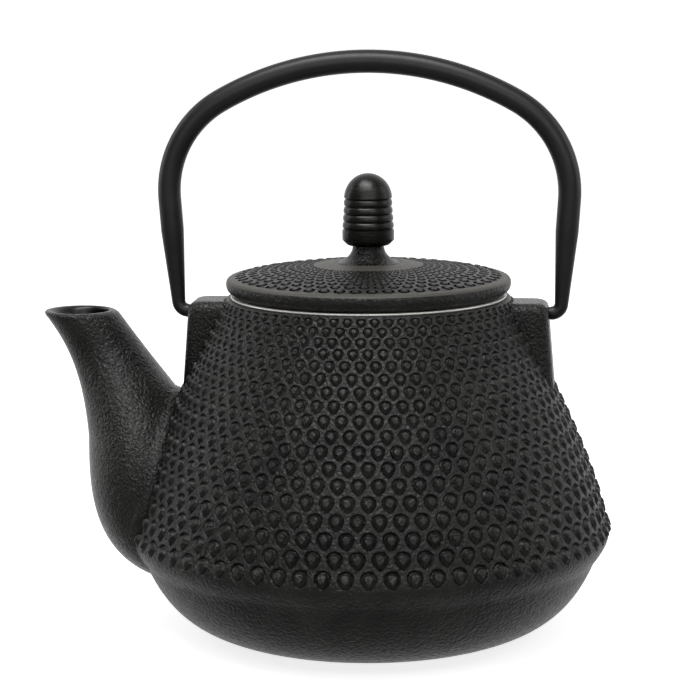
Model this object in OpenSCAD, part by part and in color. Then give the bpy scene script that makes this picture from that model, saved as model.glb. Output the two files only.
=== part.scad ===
// Cast iron teapot with a studded wall, a hinged bow handle, a lift-off lid
// and a stainless steel infuser basket.
// Millimetres. Origin: centre of the flat base. +Z up, spout towards -X.

/* [Pot body] */
// Height of the mouth's flat top face
mouth_z = 108.4; // [100:0.2:115]
// Outer radius of the wall at the mouth
mouth_r = 45.3; // [44.8:0.1:47]
// Radius of the mouth's bore, which the infuser drops into
mouth_bore_r = 39.6; // [39:0.1:40.5]
// Radius of the flat base that the pot stands on
base_r = 38; // [32:1:44]
// Thickness of the wall, measured level
wall = 4.2; // [3.5:0.1:5]
// Thickness of the floor
floor_t = 4; // [3:0.5:6]

/* [Spout] */
// Height of the spout's level lip
lip_z = 103.2; // [98:0.5:106]
// Wall of the spout
spout_wall = 3.2; // [2.5:0.1:4]
// Half width of the spout at its lip
lip_half_w = 11.5; // [10:0.5:14]
// Half width of the spout where it grows out of the pot
root_half_w = 30.5; // [24:0.5:32]

/* [Handle lugs] */
// Half width of a lug, along the swing of the handle
lug_half_w = 9; // [7:0.5:11]
// Height of the lugs' flat tops
lug_top_z = 107.2; // [106:0.2:108.2]
// Distance of the lug's face from the pot's axis, level with the pins
lug_face_x = 57.45; // [57:0.05:57.6]

/* [Handle] */
// Height of the pins' axis
pivot_z = 103.3; // [102:0.1:104]
// Radius of the handle's round section
bow_r = 3.65; // [3:0.05:4.5]
// Radius of the two pins
pin_r = 2; // [1.5:0.1:2.2]
// Gap around a pin in its hole
pin_gap = 0.06; // [0.02:0.01:0.1]
// Height of the bow's centreline at the crown
crown_z = 182.6; // [180:0.2:190]
// Distance of the bow's centreline from the pot's axis at its widest
bow_half_w = 63.7; // [63.5:0.1:66]
// Height at which the bow is widest
spring_z = 141.5; // [138:0.5:145]
// Radius of the bow's shoulders
shoulder_r = 33; // [30:0.5:35]

/* [Lid] */
// Radius of the lid
lid_r = 45.4; // [45:0.1:47]
// Height of the lid at its centre, on the neck's axis
lid_crown_z = 119.6; // [118:0.2:121]
// Radius of the locating skirt under the lid
skirt_r = 36.4; // [35:0.1:37]
// Radius of the cast neck under the knob
neck_r = 5; // [4.5:0.1:6]

/* [Knob] */
// Height of the knob's bottom face
knob_z = 124.9; // [124:0.1:126]
// Radius of the knob's plain band
knob_r = 8.25; // [7:0.05:9]
// Height of the knob
knob_h = 22.6; // [20:0.2:24]
// Number of turned grooves
groove_n = 4; // [3:1:5]

/* [Infuser] */
// Radius of the basket's rim, which lies on the mouth
rim_r = 44; // [43:0.1:44.6]
// Outer radius of the basket's collar
collar_r = 38.5; // [38:0.1:38.8]
// Thickness of the basket's sheet and mesh
sheet = 0.4; // [0.3:0.05:0.5]
// Height of the underside of the basket
basket_z = 50.6; // [45:0.2:60]

/* [Hidden] */
$fn = 96;

iron = "#2b2b2c";
coated = "#232324";
steel = "#c9cbcd";

// ---- curves -------------------------------------------------------------
// A point on a cubic Bezier curve with control points p
function bezier(p, t) =
    pow(1 - t, 3) * p[0] + 3 * pow(1 - t, 2) * t * p[1]
    + 3 * (1 - t) * t * t * p[2] + pow(t, 3) * p[3];
function bezier_points(p, n) = [for (i = [0:n]) bezier(p, i / n)];
// A point on a circular arc in the plane of the outline
function arc_point(centre, r, a) = centre + r * [cos(a), sin(a)];
function smooth(t) = let (u = min(max(t, 0), 1)) u * u * (3 - 2 * u);

// ---- pot body outline, as [radius, height] --------------------------------
notch_r = 73.4;
notch_z = 24.8;
bowl = bezier_points([[base_r, 0], [base_r + 16, 0.5], [66, 6], [notch_r, notch_z]], 12);
flange = bezier_points([[notch_r + 0.8, notch_z + 0.8], [77, 29.5], [78.6, 32.5], [76.2, 36]], 8);
side = bezier_points([[76.2, 36], [71, 58], [59, 81], [mouth_r, mouth_z - 0.5]], 16);
mouth_edge = [[mouth_r - 0.5, mouth_z], [0, mouth_z]];
outline = concat([[0, 0]], bowl, flange, side, mouth_edge);

// ---- cavity outline -------------------------------------------------------
throat_z = 98;
cavity_bowl = bezier_points([[base_r - wall, floor_t], [50, floor_t + 0.5], [61.5, 10],
                             [notch_r - wall, notch_z]], 10);
cavity_side = [for (p = side) if (p[1] < throat_z) [p[0] - wall, p[1]]];
cavity_throat = [[41, 103.5], [mouth_bore_r, 105], [mouth_bore_r, mouth_z + 1], [0, mouth_z + 1]];
cavity_outline = concat([[0, floor_t]], cavity_bowl, cavity_side, cavity_throat);

// ---- spout ----------------------------------------------------------------
// The outer edge, from the lip down to the belly, in two curves, as [x, z]
lip_out = [-105.9, lip_z];
lip_in = [-82, lip_z];
belly_top = [-91.3, 63];
outer_upper = [lip_out, [-97.5, lip_z - 10.4], [-92.8, 81], belly_top];
outer_lower = [belly_top, [-91.2, 48], [-92.2, 21.5], [-66, 17]];
// The inner edge runs straight to the wall, then bends down inside the pot
root_top = [-60.5, 73.8];
inner_lower = [root_top, [-55, 66], [-51, 52], [-50, 34]];
function outer_edge(t) = t < 0.5 ? bezier(outer_upper, 2 * t) : bezier(outer_lower, 2 * t - 1);
function inner_edge(t) = t < 0.5 ? lip_in + (root_top - lip_in) * 2 * t : bezier(inner_lower, 2 * t - 1);
function half_width(t) = lip_half_w + (root_half_w - lip_half_w) * smooth((t - 0.12) / 0.63);
sections = 14;
sides = 24;
// One oval section across the spout, drawn in by inset on every side
function section(t, inset) =
    let (a = outer_edge(t), b = inner_edge(t), d = (b - a) / norm(b - a),
         c = (a + b) / 2, u = norm(b - a) / 2 - inset, v = half_width(t) - inset)
    [for (k = [0:sides - 1]) let (w = 360 * k / sides, s = c + d * u * cos(w))
        [s[0], v * sin(w), s[1]]];
function raised(ring, lift) = [for (p = ring) p + [-0.45 * lift, 0, lift]];
// A closed skin over a list of rings
module loft(rings) {
    n = len(rings);
    m = len(rings[0]);
    points = [for (r = rings) for (p = r) p];
    quads = [for (i = [0:n - 2]) for (k = [0:m - 1])
        let (a = i * m + k, b = i * m + (k + 1) % m) [a, b, b + m, a + m]];
    skin = [for (q = quads) for (f = [[q[0], q[1], q[2]], [q[0], q[2], q[3]]]) f];
    caps = [[for (k = [0:m - 1]) m - 1 - k], [for (k = [0:m - 1]) (n - 1) * m + k]];
    polyhedron(points, concat(skin, caps), convexity = 6);
}
module spout_outside() {
    loft([for (i = [0:sections]) section(i / sections, 0)]);
}
module spout_channel() {
    inside = [for (i = [0:sections]) section(i / sections, spout_wall)];
    loft(concat([raised(inside[0], 2)], inside));
}

// ---- lugs -----------------------------------------------------------------
lug_slope = 0.085;
lug_round = 3;
lug_foot_z = 78;
function lug_x(z) = lug_face_x + (pivot_z - z) * lug_slope;
lug_outline = concat(
    [[30, lug_foot_z], [lug_x(lug_foot_z), lug_foot_z]],
    [for (a = [0:15:90])
        arc_point([lug_x(lug_top_z - lug_round) - lug_round, lug_top_z - lug_round], lug_round, a)],
    [[30, lug_top_z]]);
module lug() {
    intersection() {
        translate([0, lug_half_w, 0]) rotate([90, 0, 0])
            linear_extrude(2 * lug_half_w) polygon(lug_outline);
        translate([0, 0, lug_foot_z - 1]) linear_extrude(lug_top_z - lug_foot_z + 2) union() {
            translate([30, -lug_half_w]) square([27, 2 * lug_half_w]);
            translate([30, lug_round - lug_half_w]) square([31, 2 * (lug_half_w - lug_round)]);
            for (y = [-1, 1])
                translate([57, y * (lug_half_w - lug_round)]) circle(r = lug_round + 0.001);
        }
    }
}
pin_depth = 7;
pin_tip_x = lug_face_x - pin_depth;
module pin_hole() {
    translate([pin_tip_x - 0.5, 0, pivot_z]) rotate([0, 90, 0])
        cylinder(h = pin_depth + 5, r = pin_r + pin_gap);
}

module pot_body() {
    color(iron) difference() {
        union() {
            rotate_extrude() polygon(outline);
            for (m = [0, 1]) mirror([m, 0, 0]) lug();
            spout_outside();
        }
        rotate_extrude() polygon(cavity_outline);
        spout_channel();
        for (m = [0, 1]) mirror([m, 0, 0]) pin_hole();
    }
}

// ---- handle ---------------------------------------------------------------
// A three-centred arch: a crown arc between two shoulder arcs
rise = crown_z - spring_z;
shoulder_x = bow_half_w - shoulder_r;
crown_drop = (shoulder_x * shoulder_x - pow(rise - shoulder_r, 2)) / (2 * (rise - shoulder_r));
crown_r = rise + crown_drop;
joint_a = atan2(crown_drop, shoulder_x);
// The arms lean in a little, run straight, then taper to the pins
lean = 3.8;
arm_straight = 10;
bend_r = 3.2;
arm_top = [shoulder_x + shoulder_r * cos(lean), spring_z - shoulder_r * sin(lean)];
bend_z = pivot_z + bend_r;
bend_x = arm_top[0] - (bend_r + (arm_top[1] - bend_z) * sin(lean)) / cos(lean);
arm_length = (arm_top[1] - bend_z + bend_r * sin(lean)) / cos(lean);

// Half of the bow's centreline, as [x, z, radius, direction of travel in degrees],
// from the crown down to the turned-in end
end_r = pin_r + 0.15;
function bend_point(c, r, bar_r, a) = [c[0] + r * cos(a), c[1] + r * sin(a), bar_r, a];
function arm_point(s, bar_r) =
    [arm_top[0] - s * sin(lean), arm_top[1] - s * cos(lean), bar_r, -lean];
half_bow = concat(
    [for (i = [0:7])
        bend_point([0, spring_z - crown_drop], crown_r, bow_r, 90 - (90 - joint_a) * i / 8)],
    [for (i = [0:11])
        bend_point([shoulder_x, spring_z], shoulder_r, bow_r, joint_a - (joint_a + lean) * i / 12)],
    [arm_point(0, bow_r), arm_point(arm_straight, bow_r),
     arm_point((arm_straight + arm_length) / 2, (bow_r + end_r) / 2)],
    [for (i = [0:6])
        bend_point([bend_x, bend_z], bend_r, end_r, -lean - (90 - lean) * i / 6)]);
bar_sides = 20;
function bar_ring(p) = [for (k = [0:bar_sides - 1]) let (w = 360 * k / bar_sides)
    [p[0] + p[2] * cos(w) * cos(p[3]), p[2] * sin(w), p[1] + p[2] * cos(w) * sin(p[3])]];
function mirrored(p) = [-p[0], p[1], p[2], 180 - p[3]];
module handle_bow() {
    n = len(half_bow);
    path = concat([for (i = [1:n - 1]) mirrored(half_bow[n - i])], half_bow);
    color(coated) union() {
        loft([for (p = path) bar_ring(p)]);
        for (m = [0, 1]) mirror([m, 0, 0])
            translate([pin_tip_x, 0, pivot_z]) rotate([0, 90, 0])
                cylinder(h = bend_x + 0.7 - pin_tip_x, r = pin_r);
    }
}

// ---- lid ------------------------------------------------------------------
rim_t = 0.6;
seat_z = mouth_z + rim_t;
boss_z = 114.6;
screw_r = 2;
screw_gap = 0.15;
lid_top = concat(
    [[lid_r - 0.5, seat_z + 1.7], [lid_r, seat_z + 2.3], [lid_r, seat_z + 4.4]],
    [for (a = [15:15:75]) arc_point([lid_r - 1.3, seat_z + 4.4], 1.3, a)],
    bezier_points([[lid_r - 1.6, seat_z + 5.75], [34, 117], [20, lid_crown_z - 1.2],
                   [10.5, lid_crown_z - 0.4]], 8),
    bezier_points([[9.5, lid_crown_z - 0.2], [7, lid_crown_z + 0.6], [neck_r, lid_crown_z + 2.6],
                   [neck_r, knob_z]], 8));
lid_under = [[7, boss_z], [7, boss_z + 1.2], [20, boss_z + 0.2], [33.6, seat_z + 2.6],
             [skirt_r - 2.4, seat_z + 1], [skirt_r - 2.4, seat_z - 8], [skirt_r, seat_z - 8],
             [skirt_r, seat_z], [43.2, seat_z]];
module lid_casting() {
    color(iron) rotate_extrude() polygon(concat(
        [[screw_r + screw_gap, boss_z]], lid_under, lid_top, [[screw_r + screw_gap, knob_z]]));
}

// ---- knob -----------------------------------------------------------------
groove_pitch = 2.37;
groove_depth = 0.45;
groove_top_z = knob_z + 14.55;
function body_r(z) = knob_r - 0.6 * smooth((z - knob_z - 3) / 12);
// Rounded ribs between the grooves, from the band up to the dome
ribs = [for (i = [0:groove_n - 1]) for (j = [0:5])
    let (z = groove_top_z - (groove_n - 1 - i) * groove_pitch + (j / 6 - 1) * groove_pitch)
    [body_r(z) - groove_depth * pow(abs(2 * j / 6 - 1), 2), z]];
dome = [for (a = [0:10:80])
    [body_r(groove_top_z) * cos(a), groove_top_z + (knob_z + knob_h - groove_top_z) * sin(a)]];
knob_hole_h = 10;
module lid_knob() {
    color(coated) difference() {
        rotate_extrude() polygon(concat(
            [[0, knob_z], [6.6, knob_z], [knob_r, knob_z + 1.6], [knob_r, ribs[0][1] - 0.1]],
            ribs, [[body_r(groove_top_z) - groove_depth, groove_top_z]],
            [for (p = dome) p + [0, 0.1]], [[0, knob_z + knob_h + 0.1]]));
        translate([0, 0, knob_z - 1]) cylinder(h = knob_hole_h + 1, r = screw_r + 0.04);
    }
}
washer_t = 0.8;
module knob_washer() {
    color(steel) translate([0, 0, boss_z - washer_t]) difference() {
        cylinder(h = washer_t, r = 3.9);
        translate([0, 0, -1]) cylinder(h = washer_t + 2, r = screw_r + screw_gap);
        translate([0, -0.3, -1]) cube([6, 0.6, washer_t + 2]);
    }
}
head_h = 2.6;
head_r = 3.6;
module knob_screw() {
    head_z = boss_z - washer_t;
    color(steel) difference() {
        union() {
            translate([0, 0, head_z]) cylinder(h = knob_z + knob_hole_h - 1 - head_z, r = screw_r);
            translate([0, 0, head_z - head_h]) cylinder(h = head_h, r = head_r);
        }
        for (a = [0, 90]) rotate([0, 0, a])
            translate([-2, -0.4, head_z - head_h - 1]) cube([4, 0.8, 2.4]);
    }
}

// ---- infuser --------------------------------------------------------------
collar_h = 14;
lap = 2;
inner_r = collar_r - sheet;
module tube(r_out, r_in, z0, z1) {
    translate([0, 0, z0]) difference() {
        cylinder(h = z1 - z0, r = r_out);
        translate([0, 0, -1]) cylinder(h = z1 - z0 + 2, r = r_in);
    }
}
module infuser_collar() {
    color(steel) union() {
        tube(rim_r, inner_r, mouth_z, seat_z);
        tube(collar_r, inner_r, seat_z - collar_h, mouth_z);
    }
}
module infuser_mesh_wall() {
    color(steel) tube(inner_r, inner_r - sheet, basket_z + 2 * sheet, seat_z - collar_h + lap);
}
module infuser_base_ring() {
    color(steel) union() {
        tube(collar_r, inner_r, basket_z, basket_z + 5);
        tube(inner_r, inner_r - 4, basket_z, basket_z + sheet);
    }
}
module infuser_mesh_bottom() {
    color(steel) translate([0, 0, basket_z + sheet]) cylinder(h = sheet, r = inner_r);
}

pot_body();
handle_bow();
lid_casting();
lid_knob();
knob_screw();
knob_washer();
infuser_collar();
infuser_mesh_wall();
infuser_base_ring();
infuser_mesh_bottom();
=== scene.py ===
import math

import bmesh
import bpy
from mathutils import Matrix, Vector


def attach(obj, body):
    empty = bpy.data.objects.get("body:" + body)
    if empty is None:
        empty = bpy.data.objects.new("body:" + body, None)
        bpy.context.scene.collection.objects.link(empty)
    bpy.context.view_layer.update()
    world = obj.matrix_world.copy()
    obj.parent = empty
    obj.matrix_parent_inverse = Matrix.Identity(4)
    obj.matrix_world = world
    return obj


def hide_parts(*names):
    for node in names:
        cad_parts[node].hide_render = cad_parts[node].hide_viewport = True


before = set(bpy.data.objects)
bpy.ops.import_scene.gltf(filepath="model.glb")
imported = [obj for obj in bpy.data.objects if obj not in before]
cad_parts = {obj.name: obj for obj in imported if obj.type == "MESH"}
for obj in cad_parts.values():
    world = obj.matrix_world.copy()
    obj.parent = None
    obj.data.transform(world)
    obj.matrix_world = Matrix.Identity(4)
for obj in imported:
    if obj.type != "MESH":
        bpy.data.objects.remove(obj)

# %% [markdown]
# # A studded cast iron teapot
# The pot is one iron casting: a studded wall over a smooth bowl, with a spout and two
# lugs cast on. A steel bow swings in the lugs, an iron lid with a turned knob sits on
# top, and a steel basket hangs in the mouth. This script builds the looks of each
# piece around the fixed frame. All outlines are in millimetres, as [radius, height],
# and become metres when a mesh is made.

MM = 0.001
FULL_TURN = 2 * math.pi
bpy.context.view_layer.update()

# %% [markdown]
# ## Camera
# A long lens from a little above the lid gives the calm, nearly level look of a
# catalogue picture. The camera aims at a point on the pot's axis, and a small lens
# shift moves the pot down in the frame without tilting it.

# %% Camera
AIM = Vector((0, 0, 0.070))
CAMERA_DISTANCE = 0.760
CAMERA_RISE = math.radians(10.9)
CAMERA_TURN = math.radians(5.5)
CAMERA_ROLL = math.radians(-0.36)


def towards(turn, rise):
    """The direction from the pot to a place round it; turn 0 is in front."""
    return Vector((math.sin(turn) * math.cos(rise), -math.cos(turn) * math.cos(rise),
                   math.sin(rise)))


lens = bpy.data.cameras.new("camera")
lens.sensor_width = 36
lens.lens = 121.2
lens.shift_x = -0.0277
lens.shift_y = 0.0913
lens.clip_start, lens.clip_end = 0.05, 60
camera = bpy.data.objects.new("camera", lens)
bpy.context.scene.collection.objects.link(camera)
view_from = towards(CAMERA_TURN, CAMERA_RISE)
camera.location = AIM + view_from * CAMERA_DISTANCE
camera.rotation_mode = "QUATERNION"
camera.rotation_quaternion = (
    view_from.to_track_quat("Z", "Y") @ Matrix.Rotation(CAMERA_ROLL, 3, "Z").to_quaternion())
bpy.context.scene.camera = camera
print("camera at, mm:", [round(c / MM) for c in camera.location])

# %% [markdown]
# ## Floor and light
# Black iron shows only what it reflects, so the lamps draw the shape. Three wide soft
# boxes stand in front: the upper two light the top of each stud, and the low, thin
# one draws a band along the bowl. Two upright strips give the pale lines down the
# sides and along the bow. The room is dim in front and pale behind, which lights the
# lid's crown at a low angle. The floor and the backdrop are nearly white to the eye
# but are kept out of the pot's reflections, as a sheet of matt paper under the pot
# would be, so the bowl stays dark down to its foot.

# %% Floor and backdrop
FLOOR_RADIUS, FLOOR_SIDES = 30, 96
DOME_RADIUS, DOME_SIDES, DOME_STEP = 40, 48, 15


def pale_sheet(name, glow, points, faces):
    """A matt, nearly white stage piece that glows a little."""
    material = bpy.data.materials.new(name)
    material.use_nodes = True
    shader = material.node_tree.nodes["Principled BSDF"]
    shader.inputs["Base Color"].default_value = (0.80, 0.80, 0.80, 1)
    shader.inputs["Roughness"].default_value = 0.9
    shader.inputs["Emission Color"].default_value = (1, 1, 1, 1)
    shader.inputs["Emission Strength"].default_value = glow
    mesh = bpy.data.meshes.new(name)
    mesh.from_pydata(points, [], faces)
    mesh.materials.append(material)
    sheet = bpy.data.objects.new(name, mesh)
    sheet.visible_glossy = False
    bpy.context.scene.collection.objects.link(sheet)
    return sheet


def circle(count, radius, height):
    return [(radius * math.cos(FULL_TURN * k / count), radius * math.sin(FULL_TURN * k / count),
             height) for k in range(count)]


pale_sheet("floor", 0.78, circle(FLOOR_SIDES, FLOOR_RADIUS, 0),
           [list(range(FLOOR_SIDES))])
dome_points, dome_faces = [], []
for rise in range(-90, 91, DOME_STEP):
    c, s = math.cos(math.radians(rise)), math.sin(math.radians(rise))
    low, high = len(dome_points), len(dome_points) + DOME_SIDES
    dome_points += circle(DOME_SIDES, DOME_RADIUS * max(c, 0.001), DOME_RADIUS * s)
    for k in range(DOME_SIDES if rise < 90 else 0):
        n = (k + 1) % DOME_SIDES
        dome_faces.append((low + k, low + n, high + n, high + k))
backdrop = pale_sheet("backdrop", 1.05, dome_points, dome_faces)
backdrop.visible_diffuse = backdrop.visible_shadow = False
print("floor radius, m:", FLOOR_RADIUS)

# %% Lamps
def soft_box(name, turn, rise, distance, size, radiance):
    """A square or oblong lamp aimed at the pot; radiance is how bright it looks."""
    lamp = bpy.data.lights.new(name, "AREA")
    lamp.shape = "RECTANGLE"
    lamp.size, lamp.size_y = size
    lamp.energy = radiance * math.pi * size[0] * size[1]
    box = bpy.data.objects.new(name, lamp)
    direction = towards(math.radians(turn), math.radians(rise))
    box.location = AIM + direction * distance
    box.rotation_mode = "QUATERNION"
    box.rotation_quaternion = direction.to_track_quat("Z", "Y")
    bpy.context.scene.collection.objects.link(box)


soft_box("high_box", turn=-20, rise=70, distance=1.3, size=(1.0, 0.5), radiance=7.0)
soft_box("front_box", turn=5, rise=46, distance=1.35, size=(1.7, 0.40), radiance=1.8)
soft_box("low_box", turn=8, rise=15, distance=1.4, size=(1.8, 0.12), radiance=5.0)
soft_box("left_strip", turn=-100, rise=18, distance=1.1, size=(0.32, 0.9), radiance=1.8)
soft_box("right_strip", turn=96, rise=20, distance=1.1, size=(0.32, 0.9), radiance=1.9)

# %% Room
BLACK_LEVEL = 0.003
studio = bpy.data.worlds.new("studio")
studio.use_nodes = True
nodes, links = studio.node_tree.nodes, studio.node_tree.links
looking = nodes.new("ShaderNodeSeparateXYZ")
links.new(nodes.new("ShaderNodeTexCoord").outputs["Generated"], looking.inputs["Vector"])
depth_light = nodes.new("ShaderNodeMapRange")
depth_light.interpolation_type = "SMOOTHSTEP"
for label, value in (("From Min", -0.05), ("From Max", 1.0), ("To Min", 0.09), ("To Max", 0.95)):
    depth_light.inputs[label].default_value = value
links.new(looking.outputs["Y"], depth_light.inputs["Value"])
links.new(depth_light.outputs["Result"], nodes["Background"].inputs["Strength"])
nodes["Background"].inputs["Color"].default_value = (1, 1, 1, 1)
bpy.context.scene.world = studio
# The deepest shadows are taken down to full black
view = bpy.context.scene.view_settings
view.view_transform = "Standard"
view.use_curve_mapping = True
view.curve_mapping.black_level = (BLACK_LEVEL, BLACK_LEVEL, BLACK_LEVEL)
view.curve_mapping.update()

# %% [markdown]
# ## Finishes
# Each finish is made from two layers of noise, fixed to the piece. The broad one
# varies the colour and the fine one roughens the skin and gives it grain. Stretching
# the fine noise sideways turns grain into turning marks. The lid's crown is painted
# a paler iron, a painted sheen of the low light across it, and its grooves get
# painted shade, so its rings of studs stand out.

# %% Finish maker
def finish(name, dark, light, rough, grain, depth, metal=0.0, patch=60, stretch=(1, 1, 1),
           warp=0.0, specular=0.5, coat=0.0, detail=4.0):
    """A surface: two shades, lowest and highest roughness, grains per metre and their depth."""
    material = bpy.data.materials.new(name)
    material.use_nodes = True
    nodes, links = material.node_tree.nodes, material.node_tree.links
    shader = nodes["Principled BSDF"]
    shader.inputs["Metallic"].default_value = metal
    shader.inputs["Specular IOR Level"].default_value = specular
    shader.inputs["Coat Weight"].default_value = coat
    shader.inputs["Coat Roughness"].default_value = 0.25
    place = nodes.new("ShaderNodeTexCoord").outputs["Object"]

    def noise(scale, pull, roughness):
        mapping = nodes.new("ShaderNodeMapping")
        mapping.inputs["Scale"].default_value = pull
        links.new(place, mapping.inputs["Vector"])
        texture = nodes.new("ShaderNodeTexNoise")
        texture.inputs["Scale"].default_value = scale
        texture.inputs["Detail"].default_value = detail
        texture.inputs["Roughness"].default_value = roughness
        texture.inputs["Distortion"].default_value = warp
        links.new(mapping.outputs["Vector"], texture.inputs["Vector"])
        return texture.outputs["Fac"]

    def spread(value, low, high):
        node = nodes.new("ShaderNodeMapRange")
        node.inputs["From Min"].default_value = 0.3
        node.inputs["From Max"].default_value = 0.7
        node.inputs["To Min"].default_value = low
        node.inputs["To Max"].default_value = high
        links.new(value, node.inputs["Value"])
        return node.outputs["Result"]

    broad = noise(patch, (1, 1, 1), 0.6)
    fine = noise(grain, stretch, 0.55)
    shades = nodes.new("ShaderNodeMix")
    shades.data_type = "RGBA"
    shades.inputs["A"].default_value = (*dark, 1)
    shades.inputs["B"].default_value = (*light, 1)
    links.new(spread(broad, 0, 1), shades.inputs["Factor"])
    links.new(shades.outputs["Result"], shader.inputs["Base Color"])
    links.new(spread(fine, *rough), shader.inputs["Roughness"])
    bump = nodes.new("ShaderNodeBump")
    bump.inputs["Strength"].default_value = 1
    bump.inputs["Distance"].default_value = depth * MM
    links.new(fine, bump.inputs["Height"])
    links.new(bump.outputs["Normal"], shader.inputs["Normal"])
    return material


# %% Iron, enamel, coated steel and stainless steel
studded_iron = finish("studded_iron", (0.009, 0.009, 0.008), (0.016, 0.0155, 0.0145),
                      (0.21, 0.34), 1300, 0.26)
bowl_iron = finish("bowl_iron", (0.009, 0.009, 0.0085), (0.016, 0.0155, 0.0145),
                   (0.30, 0.46), 850, 0.62, warp=0.3, specular=0.42, detail=2.0)
spout_iron = finish("spout_iron", (0.009, 0.009, 0.0085), (0.016, 0.0155, 0.0145),
                    (0.19, 0.31), 1000, 0.60, warp=0.3, specular=0.36, detail=2.0)
enamel = finish("enamel", (0.008, 0.008, 0.008), (0.014, 0.013, 0.013),
                (0.28, 0.40), 500, 0.04)
# The lid's paler colour is a painted sheen: it stands in for the low light from behind across
# black iron
lid_iron_painted_sheen = finish("lid_iron_painted_sheen", (0.050, 0.047, 0.040), (0.082, 0.077, 0.067),
                  (0.42, 0.58), 1500, 0.20)
# Nearly black and almost without reflection: painted shade in the lid's grooves
groove_painted_shade = finish("groove_painted_shade", (0.005, 0.005, 0.0045), (0.009, 0.0085, 0.008),
                     (0.5, 0.65), 1300, 0.20, specular=0.02)
bow_coating = finish("bow_coating", (0.009, 0.009, 0.009), (0.013, 0.013, 0.013),
                     (0.34, 0.44), 1800, 0.03)
knob_coating = finish("knob_coating", (0.007, 0.007, 0.006), (0.010, 0.010, 0.009),
                      (0.24, 0.34), 260, 0.06, stretch=(0.4, 0.4, 16))
polished_steel = finish("polished_steel", (0.84, 0.82, 0.78), (0.90, 0.88, 0.84),
                        (0.16, 0.28), 300, 0.01, metal=1, stretch=(0.3, 0.3, 12))
# Satin steel whose near-white, mostly unmetallic colour is a painted highlight along the rim
rim_steel_painted_highlight = finish("rim_steel_painted_highlight", (0.90, 0.88, 0.84), (0.94, 0.92, 0.88),
                     (0.22, 0.30), 300, 0.01, metal=0.25, stretch=(0.3, 0.3, 12))
wire_steel = finish("wire_steel", (0.48, 0.47, 0.45), (0.60, 0.58, 0.56),
                    (0.24, 0.36), 1200, 0.02, metal=1)
print("finishes:", len(bpy.data.materials))

# %% [markdown]
# ## Shaping helpers
# Nearly every piece here is turned: an outline swept round the pot's axis. An
# outline runs up on the outside, so that its faces point outwards. Where it meets
# the axis the ring closes to one point, and an outline that never meets the axis
# closes on itself like a tyre.

# %% Curves
def bezier(controls, steps):
    """Points along a cubic curve with four control points."""
    points = []
    for i in range(steps + 1):
        t = i / steps
        weights = ((1 - t) ** 3, 3 * t * (1 - t) ** 2, 3 * t * t * (1 - t), t ** 3)
        points.append(tuple(sum(w * c[axis] for w, c in zip(weights, controls))
                            for axis in (0, 1)))
    return points


def smooth_step(t):
    t = min(max(t, 0), 1)
    return t * t * (3 - 2 * t)


def arc(centre, radius, start, end, steps):
    """Points on a circle, angles in degrees."""
    angles = [math.radians(start + (end - start) * i / steps) for i in range(steps + 1)]
    return [(centre[0] + radius * math.cos(a), centre[1] + radius * math.sin(a))
            for a in angles]


# %% Rings
def new_ring(bm, radius, height, sides):
    """Corners round the axis, or one corner on it."""
    if radius < 1e-6:
        return [bm.verts.new((0, 0, height * MM))]
    return [bm.verts.new((radius * MM * math.cos(FULL_TURN * k / sides),
                          radius * MM * math.sin(FULL_TURN * k / sides), height * MM))
            for k in range(sides)]


def join_rings(bm, low, high, slot=0):
    """Faces from one ring to the next one up."""
    count = max(len(low), len(high))
    for k in range(count):
        n = (k + 1) % count
        corners = [low[k % len(low)], low[n % len(low)], high[n % len(high)], high[k % len(high)]]
        kept = [c for i, c in enumerate(corners) if c is not corners[i - 1]]
        bm.faces.new(kept).material_index = slot


def new_piece(name, bm, materials):
    """An object at the origin from a finished bmesh."""
    mesh = bpy.data.meshes.new(name)
    bm.normal_update()
    bm.to_mesh(mesh)
    bm.free()
    for material in materials:
        mesh.materials.append(material)
    piece = bpy.data.objects.new(name, mesh)
    bpy.context.scene.collection.objects.link(piece)
    return piece


def soften(piece, angle=30, soft_slots=()):
    """Smooth shading, with a sharp line where two faces meet at more than the angle.

    Faces whose finishes are all in soft_slots always meet softly.
    """
    mesh = piece.data
    bm = bmesh.new()
    bm.from_mesh(mesh)
    limit = math.radians(angle)
    for face in bm.faces:
        face.smooth = True
    for edge in bm.edges:
        soft = {f.material_index for f in edge.link_faces} <= set(soft_slots)
        edge.smooth = soft or (len(edge.link_faces) == 2 and edge.calc_face_angle(0) < limit)
    bm.to_mesh(mesh)
    bm.free()
    return piece


def turned(name, outline, materials, sides=128, slots=None):
    """A closed turned piece."""
    bm = bmesh.new()
    rings = [new_ring(bm, r, z, sides) for r, z in outline]
    closed = len(rings[0]) > 1
    for i in range(len(rings) if closed else len(rings) - 1):
        join_rings(bm, rings[i], rings[(i + 1) % len(rings)], slots[i] if slots else 0)
    return new_piece(name, bm, materials)


def loft(name, rings, materials, slot=0):
    """A closed skin over rings of points in metres."""
    bm = bmesh.new()
    made = [[bm.verts.new(p) for p in ring] for ring in rings]
    for low, high in zip(made, made[1:]):
        join_rings(bm, low, high, slot)
    bm.faces.new(list(reversed(made[0]))).material_index = slot
    bm.faces.new(made[-1]).material_index = slot
    bmesh.ops.recalc_face_normals(bm, faces=bm.faces)
    return new_piece(name, bm, materials)


def combine(piece, tool, operation):
    """Joins a closed tool to the piece or cuts it away, and removes the tool."""
    step = piece.modifiers.new(operation, "BOOLEAN")
    step.operation = operation
    step.solver = "MANIFOLD"
    step.object = tool
    seen = piece.evaluated_get(bpy.context.evaluated_depsgraph_get())
    mesh = bpy.data.meshes.new_from_object(seen)
    piece.modifiers.clear()
    piece.data = mesh
    bpy.data.objects.remove(tool)
    print(operation.lower(), "->", len(mesh.polygons), "faces")


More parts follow.
